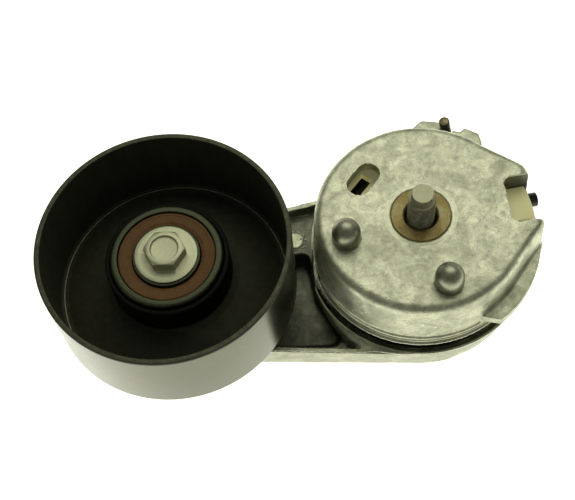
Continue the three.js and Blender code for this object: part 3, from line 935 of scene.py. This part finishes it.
def make_mounting_bolt():
    """Flange bolt; its thread is a real helix, from inside the tube up to the plain dog point."""
    low, high = box_mm("mounting_bolt")
    flange = (high.x - low.x) / 2
    flat = 15.0
    seat = low.z + 7.3
    thread_start = -14.0
    shank = rounded([
        (0, seat - 3),
        (flange, seat - 2, 0.5),
        (flange, seat, 0.4),
        (STUD_RADIUS - 0.3, seat, 0.1),
        (STUD_RADIUS - 0.3, thread_start, 0.0),
        (0, thread_start),
    ], closed=False)
    bolt = turned("mounting_bolt_body", shank, 64)
    head = hex_head("mounting_bolt_head", flat, low.z, seat - 1.8, 0, top_is_low=True)
    thread = threaded_rod("mounting_bolt_thread", STUD_RADIUS, thread_start - 0.5, STUD_HIGH - 0.05)
    add(bolt, head)
    smooth_by_angle(bolt, 35)
    join(bolt, thread)
    bolt.name = "threaded_mounting_bolt"
    finish_piece(bolt, "mounting_bolt", "bolt_steel", ["mounting_bolt"], THREAD)


def threaded_rod(name, radius, low, high):
    """A rod with a single-start thread below a plain dog point; the radius follows the helix."""
    sides = 48
    per_pitch = 8
    rows = int((high - low) / THREAD_PITCH * per_pitch)
    depth = 0.70 * THREAD_PITCH
    dog = radius - 0.85
    rings = []
    for i in range(rows + 1):
        z = low + (high - low) * i / rows
        ring = []
        for k in range(sides):
            phase = (z / THREAD_PITCH - k / sides) % 1.0
            crest = min(1.0, abs(2 * phase - 1) * 1.35)
            r = radius - depth * (1 - crest)
            below_tip = high - z
            if below_tip < DOG_POINT:
                r = min(dog, dog - 0.5 + below_tip)
            else:
                r = min(r, dog + 0.9 * (below_tip - DOG_POINT))
            ring.append((*polar(r, 360 * k / sides), z))
        rings.append(ring)
    rod = skin(name, rings)
    smooth_by_angle(rod, 32)
    return rod


def hex_head(name, flat, low, high, turn, top_is_low=False, chamfer=0.9):
    """A hexagon whose free end is chamfered to a circle."""
    corner = flat / 2 / math.cos(math.pi / 6)
    piece = prism(name, arc(0, 0, corner, turn, turn + 300, 5), low, high)
    free, back, inward = (low, high, 1) if top_is_low else (high, low, -1)
    reach = corner + 0.4
    back += 0.001 * inward
    slope_end = free + inward * chamfer
    profile = [(0, free), (flat / 2 - 0.15, free), (reach, slope_end), (reach, back), (0, back)]
    combine(piece, [turned("chamfer", profile, 96)], "INTERSECT")
    return piece


def make_lock_pin():
    foot, tip, axis, radius = lock_pin_line()
    path = [foot, foot + axis * 0.4]
    length = (tip - foot).length
    steps = 16
    for i in range(1, steps):
        path.append(foot + axis * (0.4 + (length - 0.75) * i / steps))
    path += [tip - axis * 0.25, tip - axis * 0.01]
    radii = [radius - 0.3] + [radius] * (len(path) - 2) + [radius - 0.22]
    pin = swept("sawn_lock_pin", path, radii, 40)
    for face in pin.data.polygons:
        if face.normal.dot(axis) > 0.9 and (face.center / MM - tip).length < 1.5:
            face.material_index = 1
    smooth_by_angle(pin, 50)
    finish_piece(pin, "lock_pin", "pin_steel", ["lock_pin"], WIRE, PIN_END)


# ---------- spring and seat ----------

def spring_path():
    """Points along the wire: nearly four coils with flat ends, then a bend out to the straight tang."""
    wire = 5.5
    low, high = box_mm("torsion_spring")
    coil = 29.0
    bottom = low.z + wire / 2
    top = high.z - wire / 2
    turns = 3.95
    tang_y = 5.4
    bend_angle = -18
    start = 360 * (1 - turns % 1) + bend_angle
    points = []
    steps = round(turns * 48)
    for i in range(steps + 1):
        t = i / steps
        x, y = polar(coil, start + 360 * turns * t)
        rise = min(1, max(0, 1.12 * t - 0.06))
        points.append((x, y, bottom + (top - bottom) * rise))
    bend = 5.5
    bend_x = math.sqrt(coil * coil - tang_y * tang_y) + bend
    for degrees in range(70, -1, -10):
        a = math.radians(degrees)
        points.append((bend_x - 1 - bend * math.sin(a), tang_y + bend * (math.cos(a) - 1), top))
    points.append((high.x - 0.3, tang_y, top))
    points.append((high.x, tang_y, top))
    return points, wire


def make_torsion_spring():
    points, wire = spring_path()
    radii = [wire / 2 - 0.02] * (len(points) - 1) + [wire / 2 - 0.35]
    spring = swept("coiled_torsion_spring", points, radii, 24)
    end_x = box_mm("torsion_spring")[1].x
    for face in spring.data.polygons:
        if face.normal.x > 0.9 and face.center.x / MM > end_x - 0.2:
            face.material_index = 1
    smooth_by_angle(spring, 50)
    finish_piece(spring, "case", "spring_steel", ["torsion_spring"], WIRE, WIRE_END)


def make_spring_seat():
    low, high = box_mm("spring_seat")
    top = high.z
    bottom = -12.2
    radius = 36.1
    disc = [(17.6, bottom), (radius, bottom), (radius, top), (17.6, top)]
    plate = turned("moulded_spring_seat", disc, 128)
    tab_edge = arc(0, 0, 42.3, -7.1, 11.2, 16)
    tab = prism("tab", rounded([(30, -5.2, 0)] + tab_edge + [(30, 8.2, 0)], 0.8), bottom, top)
    sleeve = turned("sleeve", [(22.8, low.z), (25, low.z), (25, bottom + 0.1), (22.8, bottom + 0.1)], 96)
    add(plate, tab, sleeve)
    hole = prism("view_hole", [(-5.5, -2.4), (4.5, -2.4), (4.5, 2.6), (-5.5, 2.6)], bottom - 1, top + 1)
    turn_to_slot(hole, -0.6, 2.6)
    cut(plate, hole)
    bevel(plate, 0.35, 3, 30)
    finish_piece(plate, "case", "cream_nylon", ["spring_seat"], NYLON)


# ---------- arm ----------

def arm_outline(cup_radius, end_radius, inset):
    """The arm from above: the pulley end, the front wall, part of the cup, and the back edge."""
    r1 = cup_radius - inset
    r2 = end_radius - inset
    lean = math.degrees(math.asin((r1 - r2) / -PULLEY_X))
    outline = arc(PULLEY_X, 0, r2, BACK_END_ANGLE, 270 - lean, 60)
    outline += arc(0, 0, r1, 270 - lean, 276, 6)
    outline.append((0, 0))
    for x, y in (BACK_NEAR, BACK_FAR):
        outline.append((x, y - inset))
    return outline


def back_edge(x):
    """The y of the arm's back edge at x: two straight pieces that meet at BACK_FAR."""
    end_x, end_y = polar(END, BACK_END_ANGLE)
    near_slope = (BACK_NEAR[1] - BACK_FAR[1]) / (BACK_NEAR[0] - BACK_FAR[0])
    far_slope = (BACK_FAR[1] - end_y) / (BACK_FAR[0] - PULLEY_X - end_x)
    beyond = x - BACK_FAR[0]
    return BACK_FAR[1] + min(near_slope * beyond, far_slope * beyond)


def channel_flare():
    """The cup's side of the channel: it flares from the cup's edge down to the ledge."""
    foot = arc(FLARE_X, FLARE_Y, FLARE_RADIUS, 0, 357, 119)
    edge = arc(0, 0, CUP - 0.6, 0, 357, 119)
    low = CHANNEL_LEDGE - 0.5
    levels = [(-60, foot), (low, foot)]
    steps = 10
    for i in range(1, steps + 1):
        a = math.radians(90 * i / steps)
        levels.append((low + (CUP_TOP - low) * math.sin(a), between(foot, edge, 1 - math.cos(a))))
    levels.append((2, edge))
    return loft("channel_flare", levels)


def in_channel(point):
    """Whether a point of the arm, in millimetres, is on the channel's inner faces, which get the darker
    copy of the aluminium as painted shade.
    """
    x, y, z = point
    if not CHANNEL_FLOOR - 0.3 <= z <= ARM_TOP - 0.6:
        return False
    if x > CHANNEL_END or math.hypot(x, y) < CUP - 3.0:
        return False
    from_flare = math.hypot(x - FLARE_X, y - FLARE_Y) - FLARE_RADIUS
    on_flare = z > CHANNEL_LEDGE + 0.5 and y < -16 and from_flare < 0.7
    on_disc = z > CHANNEL_LEDGE - 0.2 and math.hypot(x - DISC_X, y - DISC_Y) < 4.3
    past_end = x < PULLEY_X and math.hypot(x - PULLEY_X, y) > END_FOOT - 0.2
    if on_flare or on_disc or past_end:
        return False
    front = -math.sin(FRONT_LEAN) * x - math.cos(FRONT_LEAN) * y
    rise = (z - FLOOR - FOOT_ROUND) / (ARM_TOP - FLOOR - FOOT_ROUND)
    outer = CUP_FOOT + (CUP - CUP_FOOT) * rise
    return front < min(CUP - WALL + 0.9, outer - 1.2) and y - back_edge(x) < -WALL - 0.5


def arm_blank():
    """The tapered arm with its cup, still solid."""
    levels = [
        (FLOOR, arm_outline(CUP_FOOT - FOOT_ROUND, END_FOOT - FOOT_ROUND, 0)),
        (FLOOR + FOOT_ROUND, arm_outline(CUP_FOOT, END_FOOT, 0)),
        (ARM_TOP, arm_outline(CUP, END, 0)),
    ]
    blank = loft("cast_arm", levels)
    cup = rounded([
        (0, FLOOR),
        (CUP_FOOT - 2, FLOOR, 1.5),
        (CUP_FOOT, FLOOR + 2, 1.5),
        (CUP, CUP_TOP, 0),
        (0, CUP_TOP),
    ], closed=False)
    add(blank, turned("cup", cup, 192))
    return blank


def cut_channel(arm):
    """The shallow channel between the arm's walls, round the pulley's boss and up to the cup."""
    boss = turned("boss_keep", [(0, -60), (15.5, -60), (14.5, 0), (0, 0)], 64, PULLEY_CENTRE)
    shallow = prism("shallow", arm_outline(CUP, END, WALL), CHANNEL_LEDGE, 1)
    cut(shallow, channel_flare(), boss)
    cut(arm, shallow)


def cut_pocket(arm):
    """The deep pocket in the channel's floor, narrower at its own floor."""
    mouth = rounded([
        (-79, -19), (-76.5, -22.5), (-38, -30.4), (-34.8, -27.5),
        (-40.8, -8), (-40.8, 10.5), (-76, 10.5), (-79, 8),
    ], 3, 6)
    floor = rounded([
        (-76, -17), (-74, -19.5), (-39, -25.8), (-35.8, -23.5),
        (-41.5, -7), (-41.5, 9), (-74, 9), (-76, 6.5),
    ], 3, 6)
    cut(arm, loft("pocket", [
        (CHANNEL_FLOOR, floor),
        (CHANNEL_FLOOR + 1.2, between(floor, mouth, 0.25)),
        (CHANNEL_LEDGE, mouth),
        (CHANNEL_LEDGE + 1, mouth),
    ]))


def cut_cup(arm):
    """The cup's cavity, with a step for the friction ring, its hub, and the mouth in its wall."""
    cavity = [
        (17.0, CHANNEL_FLOOR),
        (CASE["cavity"] - 0.5, CHANNEL_FLOOR),
        (CASE["cavity"] - 0.5, CUP_STEP),
        (41.2, CUP_STEP),
        (41.9, CUP_TOP + 1),
        (17.0, CUP_TOP + 1),
    ]
    cut(arm, turned("cavity", cavity, 160))
    hub = 17
    hub_top = -7.5
    add(arm, turned("hub", [(12, CHANNEL_FLOOR), (hub, CHANNEL_FLOOR), (hub, hub_top), (12, hub_top)], 96))
    bushing_hole = 13.3
    washer_hole = 16.3
    washer_seat = -34.9
    cut(arm, bore("bore", bushing_hole, FLOOR - 1, 1, 96))
    cut(arm, bore("counterbore", washer_hole, FLOOR - 1, washer_seat, 96))
    mouth = rounded([(-60, -6.8), (-38, -6.8), (-38, 10), (-60, 10)], 1.5)
    cut(arm, prism("mouth", mouth, CUP_STEP, 1))


def add_pulley_boss(arm):
    seat = BEARING_LOW.z - 0.3
    boss = rounded([
        (0, FLOOR),
        (13, FLOOR, 0),
        (13, -14, 1),
        (11.4, -10, 1),
        (11.4, seat, 0.4),
        (0, seat),
    ], closed=False)
    add(arm, turned("pulley_boss", boss, 72, PULLEY_CENTRE))
    cut(arm, bore("bolt_hole", 4.3, -36, 1, 48, PULLEY_CENTRE))


def stop_lug():
    outline = [polar(40, 74.5), polar(40, 64.4), polar(51.5, 64.4), polar(51.5, 70.5)]
    return prism("stop_lug", rounded(outline, 0.8), -38, -27.5)


def cast_disc():
    profile = [(0, CHANNEL_FLOOR), (4.0, CHANNEL_FLOOR, 0), (3.6, -32.3, 0.3), (0, -32.3)]
    return turned("disc", rounded(profile, closed=False), 48, (DISC_X, DISC_Y, 0))


def make_arm():
    arm = arm_blank()
    cut_channel(arm)
    cut_pocket(arm)
    cut_cup(arm)
    add_pulley_boss(arm)
    add(arm, stop_lug(), cast_disc())
    soften(arm, 0.55, 3)
    roughen(arm, 0.10, 5.0, 0.03, 1.4)
    # the channel's inner faces get the darker copy of the aluminium: painted shade
    for face in arm.data.polygons:
        face.material_index = 1 if in_channel(face.center / MM) else 0
    arm.name = "cast_tensioner_arm"
    finish_piece(arm, "arm", "cast_aluminium", ["arm"], ALUMINIUM_ARM, ALUMINIUM_PAINTED_SHADE)


def make_dial_marks():
    """A ring of plain dots on the cast disc in the channel."""
    dots = []
    for i in range(12):
        if i % 4 == 3:
            # every fourth place is empty
            continue
        x, y = polar(2.5, 30 * i)
        dome = [(0, -0.3), (0.38, -0.3), (0.34, 0.08), (0.2, 0.16), (0, 0.18)]
        dots.append(turned("dot", dome, 14, (DISC_X + x, DISC_Y + y, -32.45)))
    first = dots[0]
    join(first, *dots[1:])
    first.name = "dial_marks"
    finish_piece(first, "arm", "cast_aluminium", [], DARK_GAP)


def flash_path():
    """Where the halves of the mould met: along the front wall, up the step and round the cup."""
    front_angle = 270 - math.degrees(FRONT_LEAN)
    pulley_end = Vector((*polar(END - 0.75, front_angle), 0)) + Vector(PULLEY_CENTRE)
    cup_end = Vector((*polar(CUP - 0.75, front_angle), 0))
    wall_z = ARM_TOP - 0.05
    start, stop, steps = 0.16, 0.78, 150
    path = []
    for i in range(steps + 1):
        t = i / steps
        p = pulley_end.lerp(cup_end, start + (stop - start) * t)
        path.append((p.x + wander(0.10, t * 60, 1.0, 0), p.y + wander(0.20, t * 60, 2.0, 0), wall_z))
    corner = pulley_end.lerp(cup_end, stop)
    corner.z = wall_z
    first_angle, last_angle = 255, 325
    cup_start = Vector((*polar(CUP - 0.35, first_angle), CUP_TOP))
    for i in range(1, 14):
        t = i / 14
        p = corner.lerp(cup_start, t)
        p.y = corner.y + (cup_start.y - corner.y) * t * t * (3 - 2 * t)
        path.append(tuple(p))
    for i in range(120):
        degrees = first_angle + (last_angle - first_angle) * i / 119
        path.append((*polar(CUP - 0.3 + wander(0.12, i * 0.5, 4.0, 0), degrees), CUP_TOP - 0.08))
    return path


def make_arm_flash():
    path = flash_path()
    radii = [0.25 + wander(0.10, i * 0.35, 0, 9.0) for i in range(len(path))]
    flash = swept("arm_parting_flash", path, radii, 8)
    finish_piece(flash, "arm", "cast_aluminium", [], FLASH)


# ---------- pulley ----------

def make_pulley():
    r = PULLEY_RADIUS
    top = PULLEY_HIGH.z
    bottom = PULLEY_LOW.z
    inner = r - SHEET
    housing = BEARING_RADIUS + 0.55
    seat = BEARING_LOW.z - 0.3
    collar = 22.2
    collar_top = 4.6
    web = -9.8
    profile = rounded([
        (housing, collar_top, 0.3),
        (housing, seat, 0.2),
        (BEARING_RADIUS - 1.6, seat, 0.3),
        (BEARING_RADIUS - 1.6, seat - SHEET, 0.4),
        (collar + 1.5, web - SHEET, 2.0),
        (r - 5, bottom, 2.0),
        (r, bottom, 2.2),
        (r, top - 1.1, 0),
        (r, top, 0.45),
        (inner, top, 0.4),
        (inner, bottom + SHEET, 1.1),
        (r - 5, bottom + SHEET, 2.0),
        (collar + 2.2, web, 2.0),
        (collar, web + 1.8, 1.0),
        (collar, collar_top, 0.8),
    ], steps=8)

    def zone(radius, z, out, up):
        """0 for the polished belt face, 1 for the black coat, 2 for the rim, 3 for the collar, which gets
        a darker, duller copy of the black coat as painted shade.
        """
        if radius > r - 0.3 and out > 0.3 and z > top - 1.1:
            return 1
        if radius > r - 0.02 and z > bottom + 1.5:
            return 0
        if z > top - 0.5 and up > 0.75:
            return 2
        if out > 0.2 and radius > r - 3 and z < top - 1:
            return 0
        return 3 if radius < collar + 0.4 and z > web + 3 else 1

    shell = turned("pressed_pulley", profile, 256, PULLEY_CENTRE, zone)
    smooth_by_angle(shell, 60)
    finish_piece(shell, "pulley", "pulley_steel", ["pulley_shell"],
                 POLISHED, BLACK_COAT, RIM, COLLAR_PAINTED_SHADE)


def make_pulley_crease():
    """A bright steel ring where the wall turns into the web: a painted highlight along that fillet."""
    r = PULLEY_RADIUS - SHEET - 1.4
    z = PULLEY_LOW.z + SHEET + 0.15
    profile = arc(r, z, 0.26, 0, 315, 7)
    crease = turned("crease_highlight_ring", profile, 200, PULLEY_CENTRE)
    finish_piece(crease, "pulley", "pulley_steel", [], CREASE_HIGHLIGHT)


def make_bearing_ring(name, body, node, profile, segments):
    ring = turned(name, profile, segments, PULLEY_CENTRE)
    smooth_by_angle(ring, 50)
    finish_piece(ring, body, "bearing_steel", [node], BEARING_STEEL)


def make_bearing_rings():
    high = BEARING_HIGH.z
    low = BEARING_LOW.z
    r = BEARING_RADIUS + 0.25
    land = 17.5
    race = 16.6
    step = 2.3
    outer = rounded([
        (land, low, 0.3),
        (r, low, 0.7),
        (r, high, 1.5),
        (land, high, 0.35),
        (land, high - step, 0.1),
        (race, high - step, 0.1),
        (race, low + step, 0.1),
        (land, low + step, 0.1),
    ], steps=5)
    make_bearing_ring("bearing_outer_race", "pulley", "bearing_outer_ring", outer, 128)
    inner = rounded([(8.5, low, 0.4), (12.1, low, 0.3), (12.1, high, 0.3), (8.5, high, 0.4)], steps=4)
    make_bearing_ring("bearing_inner_race", "arm", "bearing_inner_ring", inner, 96)


def make_seal(node, face, side):
    """A moulded seal whose outer face is at height face; side is 1 where that face looks up."""
    profile = rounded([
        (12.4, face - side * 1.3, 0.2),
        (17.2, face - side * 1.3, 0.2),
        (17.2, face - side * 0.10, 0.25),
        (16.5, face, 0.2),
        (16.1, face - side * 0.22, 0.2),
        (13.7, face - side * 0.30, 0.3),
        (13.2, face - side * 0.55, 0.2),
        (12.4, face - side * 0.75, 0.2),
    ], steps=4)
    seal = turned(node + "_moulded", profile, 128, PULLEY_CENTRE)
    smooth_by_angle(seal, 60)
    finish_piece(seal, "pulley", "brown_rubber", [node], RUBBER)


def make_pulley_bolt():
    under = BEARING_HIGH.z + 0.3
    rim = under + 0.5
    top = BOLT_HIGH.z
    turn = -11.5
    flange = rounded([
        (0, BOLT_LOW.z),
        (3.4, BOLT_LOW.z, 0.2),
        (4.0, BOLT_LOW.z + 0.8, 0.2),
        (4.0, under, 0.1),
        (BOLT_FLANGE_RADIUS, under, 0.2),
        (BOLT_FLANGE_RADIUS, rim - 0.12, 0.22),
        (BOLT_FLANGE_RADIUS - 1.2, rim, 0.4),
        (0, rim),
    ], closed=False)
    bolt = turned("flange_bolt", flange, 96)
    add(bolt, hex_head("bolt_hexagon", 13.0, rim - 0.4, top, turn, chamfer=0.8))
    floor = top - 0.8
    dish = rounded([(0, floor), (4.8, floor, 0.5), (5.2, top + 0.3), (0, top + 0.3)], closed=False)
    cut(bolt, turned("dish", dish, 96))
    bevel(bolt, 0.16, 2, 28)
    bolt.location = Vector(PULLEY_CENTRE) * MM
    finish_piece(bolt, "arm", "zinc_flake", ["pulley_bolt"], ZINC_FLAKE)


# ---------- pieces kept from the CAD frame ----------

def dress_hidden_pieces():
    finishes = {
        "retaining_washer": ZINC_YELLOW,
        "thrust_washer": BLACK_NYLON,
        "friction_ring": BLACK_NYLON,
        "pivot_bushing": BRONZE,
        "pulley_spacer": BEARING_STEEL,
        "ball_cage": BLACK_NYLON,
    }
    for i in range(1, 9):
        finishes[f"bearing_ball_{i}"] = BALL_STEEL
    for node, material in finishes.items():
        paint(frame["nodes"][node], material)


# ---------- stage ----------

def make_floor():
    size = 3000
    thickness = 20
    outline = [(-size, -size), (size, -size), (size, size), (-size, size)]
    floor = prism("floor", outline, FLOOR - thickness, FLOOR)
    n = Nodes("pale_floor")
    tone = n.noise(180, 2)
    base = n.span(tone, (0.90, 0.90, 0.86), (0.93, 0.93, 0.89))
    n.finish(base, 0.6, 0.0, 0.2)
    n.glow((1.0, 1.0, 0.90), 1.1)
    floor.data.materials.append(n.bump((tone, 0.01)))


def aim(light, place, target):
    lamp = bpy.data.objects.new(light.name, light)
    bpy.context.scene.collection.objects.link(lamp)
    lamp.location = place
    lamp.rotation_euler = (Vector(target) - Vector(place)).to_track_quat("-Z", "Y").to_euler()


def make_overhead():
    """One large soft light above and behind the part."""
    light = bpy.data.lights.new("overhead", "AREA")
    light.shape = "RECTANGLE"
    light.size = 0.9
    light.size_y = 0.6
    light.energy = 2.65
    light.color = (1.0, 1.0, 0.86)
    aim(light, (0.10, 0.42, 0.75), (-0.045, 0.0, 0.0))


def make_floor_glow():
    """A narrow light on the floor beside the pulley, which the polished face reflects."""
    light = bpy.data.lights.new("floor_glow", "SPOT")
    light.energy = 14.0
    light.color = (1.0, 1.0, 0.88)
    light.spot_size = math.radians(15)
    light.spot_blend = 1.0
    light.shadow_soft_size = 0.05
    aim(light, (-0.62, -0.20, 0.40), (-0.185, -0.060, FLOOR * MM))


def make_world():
    world = bpy.data.worlds.new("studio")
    bpy.context.scene.world = world
    world.use_nodes = True
    background = world.node_tree.nodes["Background"]
    background.inputs["Color"].default_value = (0.93, 0.95, 0.80, 1.0)
    background.inputs["Strength"].default_value = 0.16


def make_camera():
    """The viewing angle: 62.5 degrees above the part, turned 4.4 degrees, rolled 7.1 degrees."""
    place = Vector((-64.31, -193.58, 364.91))
    heading = math.radians(4.382)
    pitch = math.radians(62.46)
    roll = math.radians(-7.10)
    level = math.cos(pitch)
    ahead = Vector((math.sin(heading) * level, math.cos(heading) * level, -math.sin(pitch)))
    right = Vector((math.cos(heading), -math.sin(heading), 0))
    up = right.cross(ahead)
    level_right = right * math.cos(roll) + up * math.sin(roll)
    level_up = up * math.cos(roll) - right * math.sin(roll)
    data = bpy.data.cameras.new("camera")
    data.lens = 72.07
    data.sensor_width = 36.0
    data.sensor_fit = "HORIZONTAL"
    data.clip_start = 0.02
    data.clip_end = 20.0
    camera = bpy.data.objects.new("camera", data)
    bpy.context.scene.collection.objects.link(camera)
    turn = Matrix((level_right, level_up, -ahead)).transposed()
    camera.matrix_world = Matrix.Translation(place * MM) @ turn.to_4x4()
    bpy.context.scene.camera = camera


def set_view():
    """Colours as they are, without film tones."""
    view = bpy.context.scene.view_settings
    view.view_transform = "Standard"
    view.look = "None"
    view.exposure = 0.0


make_camera()
set_view()
make_floor()
make_overhead()
make_floor_glow()
make_world()
make_spring_case()
make_rim_burr()
make_dowels()
make_pivot_tube()
make_mounting_bolt()
make_lock_pin()
make_torsion_spring()
make_spring_seat()
make_arm()
make_dial_marks()
make_arm_flash()
make_pulley()
make_pulley_crease()
make_bearing_rings()
make_seal("front_seal", box_mm("front_seal")[1].z, 1)
make_seal("rear_seal", box_mm("rear_seal")[0].z, -1)
make_pulley_bolt()
dress_hidden_pieces()
